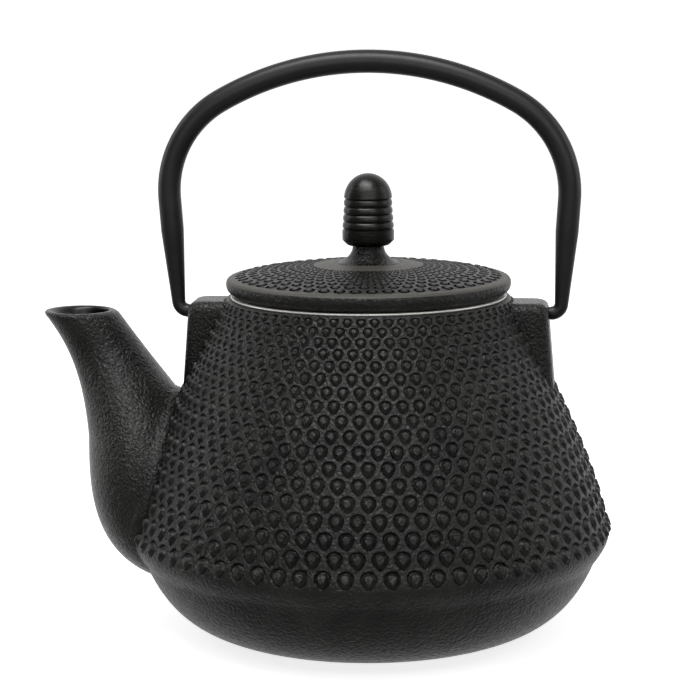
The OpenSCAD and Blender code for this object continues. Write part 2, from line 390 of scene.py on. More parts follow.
# %% [markdown]
# ## The studded skin
# The studs stand in rows, each row half a step round from the one above, and they
# shrink towards the mouth with the wall. So the pattern is laid out flat first, with
# one step round and one row down both counted as 1, as six-sided tiles that fit
# together like a honeycomb. Geometry Nodes put a tile on each place, then wrap the
# sheet round the axis: across the sheet becomes the angle, and down the sheet reads
# its place from a guide line that follows the wall.

# %% One tile with a teardrop stud
STUD_SIDES = 12


def stud_tile(name, half_width, half_height, point, groove, dome, profile):
    """A honeycomb tile. point 0 gives a round stud, more gives a teardrop."""
    corners = [(0, -2 / 3), (0.25, -0.5), (0.5, -1 / 3), (0.5, 0), (0.5, 1 / 3), (0.25, 0.5)]
    corners += [(-x, -y) for x, y in corners]
    drop = []
    for k in range(STUD_SIDES):
        a = FULL_TURN * k / STUD_SIDES
        drop.append((half_width * math.sin(a) * abs(math.sin(a / 2)) ** point,
                     -half_height * math.cos(a)))
    bm = bmesh.new()
    rings = [[bm.verts.new((x, y, 0)) for x, y in corners]]
    for size, shift, sunk, raised in profile:
        ring = []
        for x, y in drop:
            # A teardrop's groove is deepest over its round top and fades at its point
            deep = groove * (1 - 0.3 * min(point, 1) * (1 - y / half_height))
            ring.append(bm.verts.new((x * size, y * size + shift, dome * raised - deep * sunk)))
        rings.append(ring)
    for outer, inner in zip(rings, rings[1:]):
        join_rings(bm, outer, inner)
    join_rings(bm, rings[-1], [bm.verts.new((0, profile[-1][1] * 1.5, dome))])
    return new_piece(name, bm, [])


# Size against the outline, how far the middle moves up, share of the groove, of the dome
WALL_PROFILE = ((1.2, 0.0, 0.06, 0), (1.0, 0.0, 1.0, 0), (0.82, 0.0, 0.42, 0.1),
                (0.5, 0.06, 0.0, 0.85))
LID_PROFILE = ((1.16, 0.0, 0.05, 0), (0.95, 0.0, 1.0, 0), (0.64, 0.0, 0.3, 0.5),
               (0.50, 0.0, 0.0, 0.95))
wall_tile = stud_tile("wall_tile", half_width=0.395, half_height=0.455, point=0.55,
                      groove=0.095, dome=0.155, profile=WALL_PROFILE)
print("faces in one stud:", len(wall_tile.data.polygons))

# %% [markdown]
# ## The wrapping tree
# A small helper adds nodes and joins their sockets, so the tree below reads in the
# order it works: places, tiles, wrap, weld, material. The noise at the end moves
# each corner a few hundredths of a millimetre, because no two cast studs are alike.

# %% A helper that writes node trees
class Recipe:
    """A Geometry Nodes tree with named inputs."""

    def __init__(self, name, inputs):
        self.tree = bpy.data.node_groups.new(name, "GeometryNodeTree")
        face = self.tree.interface
        for label, kind in inputs.items():
            face.new_socket(label, in_out="INPUT", socket_type="NodeSocket" + kind)
        face.new_socket("Geometry", in_out="OUTPUT", socket_type="NodeSocketGeometry")
        self.given = self.tree.nodes.new("NodeGroupInput").outputs

    def add(self, kind, *values, **settings):
        """Adds a node, fills its open sockets in order, and returns its outputs."""
        node = self.tree.nodes.new(kind)
        for key, value in settings.items():
            setattr(node, key, value)
        for socket, value in zip([s for s in node.inputs if s.enabled], values):
            if isinstance(value, bpy.types.NodeSocket):
                self.tree.links.new(value, socket)
            elif value is not None:
                socket.default_value = value
        return [s for s in node.outputs if s.enabled]

    def math(self, operation, *values):
        return self.add("ShaderNodeMath", *values, operation=operation)[0]

    def vector(self, operation, *values):
        return self.add("ShaderNodeVectorMath", *values, operation=operation)[0]

    def end(self, geometry, material):
        geometry = self.add("GeometryNodeRealizeInstances", geometry)[0]
        geometry = self.add("GeometryNodeSetMaterial", geometry, None, material)[0]
        self.add("NodeGroupOutput", geometry)

    def grow(self, name, **values):
        """Runs the tree on an empty object and returns the result as a plain mesh piece."""
        piece = bpy.data.objects.new(name, bpy.data.meshes.new(name))
        bpy.context.scene.collection.objects.link(piece)
        step = piece.modifiers.new(name, "NODES")
        step.node_group = self.tree
        for socket in self.tree.interface.items_tree:
            if socket.in_out == "INPUT":
                step[socket.identifier] = values[socket.name]
        seen = piece.evaluated_get(bpy.context.evaluated_depsgraph_get())
        mesh = bpy.data.meshes.new_from_object(seen)
        piece.modifiers.clear()
        piece.data = mesh
        return piece


# %% The wrapping tree itself
GUIDE_STEPS, WELD, CAST_GRAIN = 8, 0.00002, 260.0
wrap = Recipe("wrap_tiles", {
    "Tile": "Object", "Guide": "Object", "Around": "Int", "Rows": "Int", "Size": "Float",
    "Unevenness": "Float", "Material": "Material"})
tile, guide, around, rows, size, unevenness, wrap_material = wrap.given[:7]
index = wrap.add("GeometryNodeInputIndex")[0]
row = wrap.math("FLOOR", wrap.math("DIVIDE", index, around))
column = wrap.math("SUBTRACT", index, wrap.math("MULTIPLY", row, around))
half_step = wrap.math("MULTIPLY", wrap.math("MODULO", row, 2.0), 0.5)
place = wrap.add("ShaderNodeCombineXYZ", wrap.math("ADD", column, half_step),
                 wrap.math("MULTIPLY", row, -1.0), 0.0)[0]
places = wrap.add("GeometryNodePoints", wrap.math("MULTIPLY", around, rows), place)[0]
tile_mesh = wrap.add("GeometryNodeObjectInfo", tile, True)[-1]
sheet = wrap.add("GeometryNodeInstanceOnPoints", places, None, tile_mesh)[0]
sheet = wrap.add("GeometryNodeRealizeInstances", sheet)[0]

flat = wrap.add("ShaderNodeSeparateXYZ", wrap.add("GeometryNodeInputPosition")[0])
down = wrap.math("MULTIPLY", wrap.math("SUBTRACT", 0.5, flat[1]), float(GUIDE_STEPS))
last = wrap.math("MULTIPLY", rows, float(GUIDE_STEPS))
down = wrap.math("MINIMUM", wrap.math("MAXIMUM", down, 0.0), wrap.math("SUBTRACT", last, 0.001))
before = wrap.math("FLOOR", down)
guide_mesh = wrap.add("GeometryNodeObjectInfo", guide, False)[-1]


def guide_point(number):
    """Where the guide line's corner of that number lies."""
    return wrap.add("GeometryNodeSampleIndex", guide_mesh,
                    wrap.add("GeometryNodeInputPosition")[0], number,
                    data_type="FLOAT_VECTOR", domain="POINT")[0]


start = guide_point(before)
along = wrap.vector("SUBTRACT", guide_point(wrap.math("ADD", before, 1.0)), start)
part_way = wrap.vector("SCALE", along, wrap.math("SUBTRACT", down, before))
ground = wrap.add("ShaderNodeSeparateXYZ", wrap.vector("ADD", start, part_way))
slope = wrap.add("ShaderNodeSeparateXYZ", wrap.vector("NORMALIZE", along))
# One step round at this radius is the scale of the stud's height
step_here = wrap.math("DIVIDE", wrap.math("MULTIPLY", ground[0], FULL_TURN), around)
height = wrap.math("MULTIPLY", wrap.math("MULTIPLY", flat[2], step_here), size)
radius = wrap.math("SUBTRACT", ground[0], wrap.math("MULTIPLY", height, slope[2]))
level = wrap.math("ADD", ground[2], wrap.math("MULTIPLY", height, slope[0]))
angle = wrap.math("DIVIDE", wrap.math("MULTIPLY", flat[0], FULL_TURN), around)
wrapped = wrap.add("ShaderNodeCombineXYZ",
                   wrap.math("MULTIPLY", radius, wrap.math("COSINE", angle)),
                   wrap.math("MULTIPLY", radius, wrap.math("SINE", angle)), level)[0]
sheet = wrap.add("GeometryNodeSetPosition", sheet, None, wrapped)[0]
sheet = wrap.add("GeometryNodeMergeByDistance", sheet, None, WELD)[0]
cast = wrap.add("ShaderNodeTexNoise", None, CAST_GRAIN, 1.0, noise_dimensions="3D")[1]
uneven = wrap.vector("SCALE", wrap.vector("SUBTRACT", cast, (0.5, 0.5, 0.5)), unevenness)
sheet = wrap.add("GeometryNodeSetPosition", sheet, None, None, uneven)[0]
wrap.end(sheet, wrap_material)
print("nodes in the wrapping tree:", len(wrap.tree.nodes))

# %% [markdown]
# ## The guide line down the wall
# The rows keep the same shape all the way down because each row's height is a fixed
# share of the step round the pot at that radius. Only the first rows under the mouth
# are set a little closer. The guide line's corners are placed by that rule.

# %% Guide lines
SQUEEZED_ROWS = 1.6


def guide_line(name, outline, first_row, row_share, squeeze, count, around_count):
    """Corners down an outline, GUIDE_STEPS for each row of tiles."""
    lengths = [0.0]
    for (r0, z0), (r1, z1) in zip(outline, outline[1:]):
        length = math.hypot(r1 - r0, z1 - z0)
        lengths.append(lengths[-1] + length / ((r0 + r1) / 2) * around_count / FULL_TURN)
    points, at = [], 0
    for i in range(count * GUIDE_STEPS + 1):
        row_place = i / GUIDE_STEPS - 0.5
        closer = squeeze * (1 - math.exp(-row_place / SQUEEZED_ROWS))
        wanted = first_row + row_share * row_place - closer
        while at < len(lengths) - 2 and lengths[at + 1] < wanted:
            at += 1
        t = (wanted - lengths[at]) / (lengths[at + 1] - lengths[at])
        (r0, z0), (r1, z1) = outline[at], outline[at + 1]
        points.append(((r0 + (r1 - r0) * t) * MM, 0, (z0 + (z1 - z0) * t) * MM))
    mesh = bpy.data.meshes.new(name)
    mesh.from_pydata(points, [(i, i + 1) for i in range(len(points) - 1)], [])
    line = bpy.data.objects.new(name, mesh)
    bpy.context.scene.collection.objects.link(line)
    print(name, "from", [round(c / MM, 2) for c in points[0]], "to",
          [round(c / MM, 2) for c in points[-1]])
    return line, points[0], points[-1]


MOUTH_Z = 108.4
side = bezier([(76.2, 36), (71, 58), (59, 81), (45.3, 107.9)], 200)
flange = bezier([(74.2, 25.6), (77, 29.5), (78.6, 32.5), (76.2, 36)], 60)
STUDS_ROUND, STUD_ROWS = 70, 18
wall_guide, wall_top, wall_foot = guide_line(
    "wall_guide", list(reversed(side)) + list(reversed(flange))[1:], first_row=0.37,
    row_share=0.855, squeeze=0.28, count=STUD_ROWS, around_count=STUDS_ROUND)

# %% [markdown]
# ## The pot's outside
# The studded sheet is open above and below. Its two edges are made exact circles, and
# rings carry on from them: up over the mouth's rim to the axis, and down round the
# flange, the bowl and the flat base. The result is one closed solid, ready for the
# spout, the lugs and the hollow.

# %% Closing a studded sheet with rings
def sheet_edges(bm, sides):
    """The sheet's two open edges as rings in order of angle, the outer one first."""
    found = {v for e in bm.edges if e.is_boundary for v in e.verts}
    radii = sorted(v.co.xy.length for v in found)
    middle = (radii[0] + radii[-1]) / 2
    edges = []
    for outer in (True, False):
        ring = [None] * sides
        for v in found:
            if (v.co.xy.length > middle) == outer:
                ring[round(math.atan2(v.co.y, v.co.x) / FULL_TURN * sides) % sides] = v
        edges.append(ring)
    return edges


def make_circle(ring, radius, height):
    for k, v in enumerate(ring):
        a = FULL_TURN * k / len(ring)
        v.co = (radius * math.cos(a), radius * math.sin(a), height)


def close_sheet(piece, foot, top, below, above, below_slots, above_slots, materials, tyre=False):
    """Adds the rings below the sheet and above it; a tyre's two ends are then joined."""
    bm = bmesh.new()
    bm.from_mesh(piece.data)
    sides = round(len([e for e in bm.edges if e.is_boundary]) / 2)
    low_edge, high_edge = sheet_edges(bm, sides)
    make_circle(low_edge, foot[0], foot[2])
    make_circle(high_edge, top[0], top[2])
    ring = low_edge
    for (r, z), slot in reversed(list(zip(below, below_slots))):
        lower = new_ring(bm, r, z, sides)
        join_rings(bm, lower, ring, slot)
        ring = lower
    first, ring = ring, high_edge
    for (r, z), slot in zip(above, above_slots):
        upper = new_ring(bm, r, z, sides)
        join_rings(bm, ring, upper, slot)
        ring = upper
    if tyre:
        join_rings(bm, ring, first, above_slots[-1])
    open_edges = len([e for e in bm.edges if not e.is_manifold])
    mesh = bpy.data.meshes.new(piece.name)
    bm.to_mesh(mesh)
    bm.free()
    for material in materials:
        mesh.materials.append(material)
    piece.data = mesh
    print(piece.name, "faces:", len(mesh.polygons), "open edges:", open_edges)


# The fifth finish is painted shade for the lid's grooves
STUDS, SMOOTH, WRINKLED, GLAZED, GROOVE_SHADE = range(5)
pot_finishes = [studded_iron, bowl_iron, spout_iron, enamel]
pot = wrap.grow("pot", Tile=wall_tile, Guide=wall_guide, Around=STUDS_ROUND, Rows=STUD_ROWS,
                Size=1.0, Unevenness=0.00022, Material=studded_iron)
bowl = bezier([(38, 0), (54, 0.5), (66, 6), (73.4, 24.8)], 26)
lower_flange = [p for p in flange if p[1] < wall_foot[2] / MM - 0.25][::5]
below_wall = [(0, 0), (30, 0)] + bowl + lower_flange
above_wall = [(45.3, 107.95), (45.15, 108.25), (44.8, MOUTH_Z), (30, MOUTH_Z), (0, MOUTH_Z)]
close_sheet(pot, wall_foot, wall_top, below_wall, above_wall, [SMOOTH] * len(below_wall),
            [SMOOTH] * len(above_wall), pot_finishes)

# %% [markdown]
# ## The spout
# The spout is a stack of oval sections. Its outer edge bends from the lip down into
# the belly of the pot, and its inner edge runs back to the wall. Near the wall the
# sections swell a little, which leaves the smooth root fillet and the raised bead
# that a pattern maker carves where two forms meet. The channel is the same stack
# drawn in by the wall.

# %% Spout sections
LIP_Z, SPOUT_WALL, EDGE_STEPS = 103.2, 3.2, 60
LIP_HALF, ROOT_HALF = 11.5, 30.5
WIDEN_FROM, WIDEN_OVER = 0.12, 0.63
FILLET, FILLET_SHARE, BEAD, BEAD_WIDTH, BEAD_FOOT, BEAD_FADE = 3.0, 0.5, 1.3, 3.2, 35, 8
WALL_LEAN, LIP_LEAN = 0.9, 0.45
lip_in, root_top = (-82.0, LIP_Z), (-60.5, 73.8)
belly_top = (-91.3, 63)
outer_upper = bezier([(-105.9, LIP_Z), (-97.5, LIP_Z - 10.4), (-92.8, 81), belly_top],
                     EDGE_STEPS)
outer_lower = bezier([belly_top, (-91.2, 48), (-92.2, 21.5), (-66, 17)], EDGE_STEPS)
inner_lower = bezier([root_top, (-55, 66), (-51, 52), (-50, 34)], EDGE_STEPS)
inner_upper = [tuple(a + (b - a) * i / EDGE_STEPS for a, b in zip(lip_in, root_top))
               for i in range(EDGE_STEPS + 1)]
outer_edge, inner_edge = outer_upper + outer_lower[1:], inner_upper + inner_lower[1:]


def wall_radius(z):
    """The wall's outer radius at a height."""
    outline = bowl + flange + side
    for (r0, z0), (r1, z1) in zip(outline, outline[1:]):
        if z0 <= z <= z1:
            return r0 + (r1 - r0) * (z - z0) / max(z1 - z0, 1e-9)
    return outline[-1][0]


def read(curve, t):
    """A point on one of the spout's edges, t from 0 at the lip to 1 at the root."""
    at = min(max(t, 0), 1) * (len(curve) - 1)
    i = min(int(at), len(curve) - 2)
    return [a + (b - a) * (at - i) for a, b in zip(curve[i], curve[i + 1])]


def spout_section(t, inset, lift=0.0, count=88, root=False):
    """One oval ring, drawn in by inset and raised by lift; root adds fillet and bead."""
    a, b = Vector(read(outer_edge, t)), Vector(read(inner_edge, t))
    chord = (b - a).normalized()
    centre, reach = (a + b) / 2, (b - a).length / 2 - inset
    widened = smooth_step((t - WIDEN_FROM) / WIDEN_OVER)
    half = LIP_HALF + (ROOT_HALF - LIP_HALF) * widened - inset
    ring = []
    for k in range(count):
        w = FULL_TURN * k / count
        c, s = math.cos(w), math.sin(w)
        x, z = centre + chord * reach * c
        y = half * s
        if root:
            # How far the skin is from the leaning wall, measured square to it
            gap = WALL_LEAN * (math.hypot(x, y) - wall_radius(z))
            near = FILLET - min(max(gap, 0), FILLET)
            swell = FILLET_SHARE * (FILLET - math.sqrt(FILLET ** 2 - near ** 2))
            swell += BEAD * math.sqrt(max(1 - (2 * gap / BEAD_WIDTH - 1) ** 2, 0))
            swell *= smooth_step((z - BEAD_FOOT) / BEAD_FADE)
            outward = Vector((c / reach, s / half)).normalized()
            x += chord[0] * outward[0] * swell
            z += chord[1] * outward[0] * swell
            y += outward[1] * swell
        ring.append(((x - LIP_LEAN * lift) * MM, y * MM, (z + lift) * MM))
    return ring


# DROP turns a millimetre of height at the lip into a share of the spout's edge
LIP_ROUND, DROP = 1.4, 1 / 58
lip_turns = [math.radians(a) for a in range(0, 90, 15)]
lip_rings = [spout_section(LIP_ROUND * (1 - math.cos(a)) * DROP, LIP_ROUND * (1 - math.sin(a)))
             for a in lip_turns]
spout = loft("spout", lip_rings + [
    spout_section(LIP_ROUND * DROP + (1 - LIP_ROUND * DROP) * i / 80, 0, root=True)
    for i in range(81)], pot_finishes, WRINKLED)
channel_rings = [spout_section(0, SPOUT_WALL - LIP_ROUND, lift=2)]
channel_rings += [spout_section(LIP_ROUND * (1 - math.cos(a)) * DROP,
                                SPOUT_WALL - LIP_ROUND * (1 - math.sin(a))) for a in lip_turns]
channel_rings += [spout_section(LIP_ROUND * DROP + (1 - LIP_ROUND * DROP) * i / 40, SPOUT_WALL)
                  for i in range(41)]
channel = loft("channel", channel_rings, pot_finishes, GLAZED)
print("spout faces:", len(spout.data.polygons))

# %% [markdown]
# ## The lugs
# Two square-shouldered lugs stand out of the wall to take the bow's pins. Each is a
# stack of level rings: a rectangle with rounded outer corners whose face leans with
# the wall, and whose face and sides roll over into a flat top.

# %% Lugs
PIVOT_Z, LUG_FACE, LUG_SLOPE = 103.3, 57.45, 0.085
LUG_HALF, LUG_ROUND, LUG_TOP, LUG_FOOT = 9.0, 3.0, 107.2, 78.0
PIN_DEPTH, HOLE_R, HOLE_END = 7.0, 2.06, 62


def lug_ring(z, mirror):
    """A lug's outline at a height, on the right or mirrored to the left."""
    over = max(z - (LUG_TOP - LUG_ROUND), 0)
    rolled = LUG_ROUND - math.sqrt(LUG_ROUND ** 2 - over ** 2)
    face = LUG_FACE + (PIVOT_Z - min(z, LUG_TOP - LUG_ROUND)) * LUG_SLOPE - rolled
    half = LUG_HALF - rolled
    corner = arc((face - LUG_ROUND, half - LUG_ROUND), LUG_ROUND, 0, 90, 6)
    outline = [(x, -y) for x, y in reversed(corner)] + corner
    outline = [(30, -half)] + outline + [(30, half)]
    return [(mirror * x * MM, y * MM, z * MM) for x, y in outline]


lug_levels = [LUG_FOOT + (LUG_TOP - LUG_ROUND - LUG_FOOT) * i / 8 for i in range(9)]
lug_levels += [LUG_TOP - LUG_ROUND + LUG_ROUND * math.sin(math.radians(a))
               for a in (15, 30, 42, 54, 64, 73, 81, 87)]
lugs = [loft("lug", [lug_ring(z, m) for z in lug_levels], pot_finishes, WRINKLED) for m in (1, -1)]


def bar(name, x0, x1, radius, slot=0, sides=40):
    """A round bar along X at the pins' height."""
    return loft(name, [[(x * MM, radius * MM * math.cos(FULL_TURN * k / sides),
                         (PIVOT_Z + radius * math.sin(FULL_TURN * k / sides)) * MM)
                        for k in range(sides)] for x in (x0, x1)], pot_finishes, slot)


pin_tip = LUG_FACE - PIN_DEPTH
holes = [bar("hole", m * (pin_tip - 0.5), m * HOLE_END, HOLE_R, SMOOTH) for m in (1, -1)]

# %% [markdown]
# ## The hollow, and putting the pot together
# The hollow follows the wall at a steady thickness and narrows to the throat that
# the basket drops into. First everything solid is joined, then the hollow, the
# channel and the pin holes are cut, which is the order the foundry's cores work in.

# %% Hollow and the finished pot
WALL = 4.2
hollow_outline = [(0, 4)] + bezier([(33.8, 4), (50, 4.5), (61.5, 10), (69.2, 24.8)], 16)
hollow_outline += [(r - WALL, z) for r, z in side[::10] if z < 98]
hollow_outline += [(41, 103.5), (39.6, 105), (39.6, 107.9), (40.1, MOUTH_Z),
                   (40.6, MOUTH_Z + 0.6), (0, MOUTH_Z + 0.6)]
hollow = turned("hollow", hollow_outline, pot_finishes, 140, [GLAZED] * len(hollow_outline))
for solid in [spout] + lugs:
    combine(pot, solid, "UNION")
for void in [hollow, channel] + holes:
    combine(pot, void, "DIFFERENCE")
soften(pot, 28, {STUDS})
for helper in (wall_tile, wall_guide):
    bpy.data.objects.remove(helper)
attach(pot, "pot")
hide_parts("pot_body")
print("pot triangles:", sum(len(p.vertices) - 2 for p in pot.data.polygons))

# %% [markdown]
# ## The lid
# The lid repeats the pattern with round studs in rings that shrink towards the
# middle, so the same tree makes them from a rounder tile and a guide line across
# the lid's crown. The grooves round the studs get painted shade, and the crown and
# disc a paler colour, a painted sheen. Rings then close it: the smooth disc, the
# rough neck, the screw's bore, the hollow underside, the locating skirt and the
# outer band.

# %% Lid
SEAT_Z, KNOB_Z, BOSS_Z = 109.0, 124.9, 114.6
BORE_R, BOSS_R, SKIRT_IN, SKIRT_OUT, SKIRT_Z = 2.15, 7, 34, 36.4, 101
LID_ROUND, LID_ROWS, DISC_R = 52, 9, 17.3
crown = bezier([(43.8, 114.75), (34, 117), (20, 118.4), (10.5, 119.2)], 200)
lid_tile = stud_tile("lid_tile", half_width=0.34, half_height=0.39, point=0.0,
                     groove=0.13, dome=0.06, profile=LID_PROFILE)
lid_guide, lid_inner, lid_outer = guide_line(
    "lid_guide", [p for p in reversed(crown) if p[0] >= DISC_R], first_row=0.42,
    row_share=0.84, squeeze=0.0, count=LID_ROWS, around_count=LID_ROUND)
lid = wrap.grow("lid", Tile=lid_tile, Guide=lid_guide, Around=LID_ROUND, Rows=LID_ROWS,
                Size=1.0, Unevenness=0.00015, Material=lid_iron_painted_sheen)
disc = [(15, 118.82), (12, 119.06), (10.5, 119.1), (10.1, 118.9), (9.8, 119.2)]
neck = bezier([(9.5, 119.4), (7, 120.2), (5, 122.2), (5, 124.4)], 14) + [(4.8, KNOB_Z)]
under = [(BORE_R, KNOB_Z), (BORE_R, BOSS_Z), (BOSS_R, BOSS_Z), (BOSS_R, 115.8), (20, 114.8),
         (33.6, 111.6), (SKIRT_IN, 110), (SKIRT_IN, SKIRT_Z + 0.3), (SKIRT_IN + 0.3, SKIRT_Z),
         (SKIRT_OUT - 0.3, SKIRT_Z), (SKIRT_OUT, SKIRT_Z + 0.3), (SKIRT_OUT, SEAT_Z)]
band = bezier([(42.6, SEAT_Z), (42.8, 109.9), (45.2, 110.0), (45.4, 112.5)], 10)
shoulder = bezier([(45.4, 112.9), (45.4, 114.0), (44.9, 114.6), (44.1, 114.72)], 8)
above_crown = disc + neck + under + band + shoulder
# The band's finish carries on up the lower half of the shoulder
shoulder_low = len(shoulder) // 2
# The disc and the upper half of the shoulder get the crown's paler colour, a painted sheen
crown_slots = [STUDS] * len(disc) + [WRINKLED] * len(neck) + [GLAZED] * len(under)
crown_slots += [SMOOTH] * (len(band) + shoulder_low)
crown_slots += [STUDS] * (len(shoulder) - shoulder_low)
# In each tile the first ring of faces is flat ground and the next two are the groove
tile_faces = len(lid_tile.data.polygons)
# These groove faces get the painted shade
for i, face in enumerate(lid.data.polygons):
    if STUD_SIDES <= i % tile_faces < 3 * STUD_SIDES:
        face.material_index = GROOVE_SHADE
close_sheet(lid, lid_outer, lid_inner, [], above_crown, [], crown_slots,
            [lid_iron_painted_sheen, bowl_iron, spout_iron, enamel, groove_painted_shade], tyre=True)
soften(lid, 40, {STUDS, GROOVE_SHADE})
for helper in (lid_tile, lid_guide):
    bpy.data.objects.remove(helper)
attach(lid, "lid")
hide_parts("lid_casting")

# %% [markdown]
# ## The knob
# The knob is turned from a solid bar: a chamfered foot, a plain band, rounded ribs
# between narrow grooves for grip, and a shallow dome. It is hollow underneath, where
# the screw from inside the lid goes in.

# %% Knob
KNOB_R, KNOB_H, KNOB_BORE = 8.25, 22.68, 2.04
GROOVE_PITCH, GROOVE_DEPTH, GROOVES, GROOVE_STEPS = 2.37, 0.45, 4, 10
groove_top = KNOB_Z + 14.55


def knob_body(z):
    """The knob narrows a little towards its top."""
    return KNOB_R - 0.6 * smooth_step((z - KNOB_Z - 3) / 12)


groove_low = groove_top - GROOVES * GROOVE_PITCH
knob_outline = [(0, KNOB_Z + 10), (KNOB_BORE, KNOB_Z + 10), (KNOB_BORE, KNOB_Z), (6.5, KNOB_Z),
                (6.7, KNOB_Z + 0.1), (8.15, KNOB_Z + 1.5), (KNOB_R, KNOB_Z + 1.75),
                (KNOB_R, groove_low - 0.35), (KNOB_R - 0.25, groove_low - 0.2)]
for i in range(GROOVES * GROOVE_STEPS):
    z = groove_low + i / GROOVE_STEPS * GROOVE_PITCH
    across_rib = abs(i % GROOVE_STEPS * 2 / GROOVE_STEPS - 1)
    knob_outline.append((knob_body(z) - GROOVE_DEPTH * across_rib ** 3, z))
knob_outline.append((knob_body(groove_top) - GROOVE_DEPTH, groove_top))
dome_foot = groove_top + 0.08
for a in range(3, 90, 6):
    a = math.radians(a)
    knob_outline.append((knob_body(groove_top) * math.cos(a),
                         dome_foot + (KNOB_Z + KNOB_H - dome_foot) * math.sin(a)))
knob_outline += [(0, KNOB_Z + KNOB_H)]
knob = soften(turned("knob", knob_outline, [knob_coating], 112), 32)
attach(knob, "lid")
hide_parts("lid_knob")
print("knob faces:", len(knob.data.polygons))

# %% [markdown]
# ## The bow
# The handle is a steel bar bent to a three-centred arch. Its arms lean in, taper and
# turn inwards to end in the two pins. One round section is swept along half of the
# centreline and mirrored, so the bar is a single skin from pin to pin.

# %% Bow
BOW_R, PIN_R, CROWN_Z, BOW_HALF, SPRING_Z, SHOULDER_R = 3.65, 2.0, 182.6, 63.7, 141.5, 33.0
LEAN, ARM_STRAIGHT, BEND_R = math.radians(3.8), 10.0, 3.2
END_R = PIN_R + 0.15
rise = CROWN_Z - SPRING_Z
shoulder_x = BOW_HALF - SHOULDER_R
crown_drop = ((shoulder_x ** 2 - (rise - SHOULDER_R) ** 2) / (2 * (rise - SHOULDER_R)))
crown_r = rise + crown_drop
joint_a = math.atan2(crown_drop, shoulder_x)
arm_top = (shoulder_x + SHOULDER_R * math.cos(LEAN), SPRING_Z - SHOULDER_R * math.sin(LEAN))
bend_z = PIVOT_Z + BEND_R
bend_x = arm_top[0] - (BEND_R + (arm_top[1] - bend_z) * math.sin(LEAN)) / math.cos(LEAN)
arm_length = (arm_top[1] - bend_z + BEND_R * math.sin(LEAN)) / math.cos(LEAN)


def on_circle(centre, radius, bar_r, a):
    """A place on the bow's centreline: x, z, the bar's radius and the way it faces."""
    return (centre[0] + radius * math.cos(a), centre[1] + radius * math.sin(a), bar_r, a)


ARC_STEPS, ARM_STEPS = 24, 13
half_bow = []
for i in range(ARC_STEPS):
    a = math.pi / 2 - (math.pi / 2 - joint_a) * i / ARC_STEPS
    half_bow.append(on_circle((0, SPRING_Z - crown_drop), crown_r, BOW_R, a))
for i in range(ARC_STEPS):
    half_bow.append(on_circle((shoulder_x, SPRING_Z), SHOULDER_R, BOW_R,
                              joint_a - (joint_a + LEAN) * i / ARC_STEPS))
for i in range(ARM_STEPS):
    s = arm_length * i / ARM_STEPS
    taper = max(0, (s - ARM_STRAIGHT) / (arm_length - ARM_STRAIGHT))
    half_bow.append((arm_top[0] - s * math.sin(LEAN), arm_top[1] - s * math.cos(LEAN),
                     BOW_R + (END_R - BOW_R) * taper, -LEAN))
for i in range(ARM_STEPS):
    half_bow.append(on_circle((bend_x, bend_z), BEND_R, END_R,
                              -LEAN - (math.pi / 2 - LEAN) * i / (ARM_STEPS - 1)))
down_a = -math.pi / 2
half_bow += [(bend_x - 0.4, PIVOT_Z, PIN_R, down_a), (pin_tip + 0.5, PIVOT_Z, PIN_R, down_a),
             (pin_tip, PIVOT_Z, PIN_R - 0.4, down_a)]
whole_bow = [(-x, z, r, math.pi - a) for x, z, r, a in reversed(half_bow[1:])] + half_bow


def bar_ring(x, z, radius, a, sides=28):
    """The bar's round section at one place on the centreline."""
    ring = []
    for k in range(sides):
        w = FULL_TURN * k / sides
        out = radius * math.cos(w)
        ring.append(((x + out * math.cos(a)) * MM, radius * math.sin(w) * MM,
                     (z + out * math.sin(a)) * MM))
    return ring


bow = soften(loft("bow", [bar_ring(*p) for p in whole_bow], [bow_coating]), 40)
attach(bow, "handle")
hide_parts("handle_bow")
print("bow is", round(2 * (max(p[0] for p in whole_bow) + BOW_R), 1), "mm across")

# %% [markdown]
# ## The basket
# The infuser is a pressed steel collar whose thin satin rim lies on the mouth, a wall
# and a floor of woven wire, and a ring that folds round the bottom edge. The rim's
# steel is given a near-white colour, a painted highlight along its edge. The weave is a
# flat cell of two crossing wires. Geometry Nodes repeat the cell and bend each wire
# over and under its neighbours, round a cylinder for the wall and flat for the floor.

# %% Collar and base ring
COLLAR_R, RIM_R, SHEET, BASKET_Z = 38.5, 43.7, 0.4, 50.6
PLAIN, RIM_HIGHLIGHT = range(2)
inner_r = COLLAR_R - SHEET
collar_outline = [(inner_r, 95.4), (inner_r + 0.1, 95), (COLLAR_R - 0.1, 95), (COLLAR_R, 95.4),
                  (COLLAR_R, MOUTH_Z)]
rim = arc((RIM_R, MOUTH_Z + 0.3), 0.3, -90, 90, 8)
# The rim's faces get the steel with the painted highlight
collar_slots = [PLAIN] * len(collar_outline) + [RIM_HIGHLIGHT] * len(rim) + [PLAIN] * 3
collar_outline += rim + [(38.8, SEAT_Z), (38.25, SEAT_Z - 0.15), (inner_r, SEAT_Z - 0.7)]
collar = soften(turned("basket_collar", collar_outline, [polished_steel, rim_steel_painted_highlight], 160,
                       collar_slots), 60)
ring_outline = [(inner_r - 4, BASKET_Z + SHEET), (inner_r - 4, BASKET_Z), (38.2, BASKET_Z),
                (38.45, BASKET_Z + 0.15), (COLLAR_R, BASKET_Z + 0.4), (COLLAR_R, BASKET_Z + 5),
                (inner_r, BASKET_Z + 5), (inner_r, BASKET_Z + SHEET)]
base_ring = soften(turned("basket_base_ring", ring_outline, [polished_steel], 160), 50)
for piece, node in ((collar, "infuser_collar"), (base_ring, "infuser_base_ring")):
    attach(piece, "infuser")
    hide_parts(node)
print("collar and base ring faces:", len(collar.data.polygons), len(base_ring.data.polygons))

# %% Woven wire
WIRE_R, NET_R, WIRE_SWAY = 0.16, 37.9, 0.09


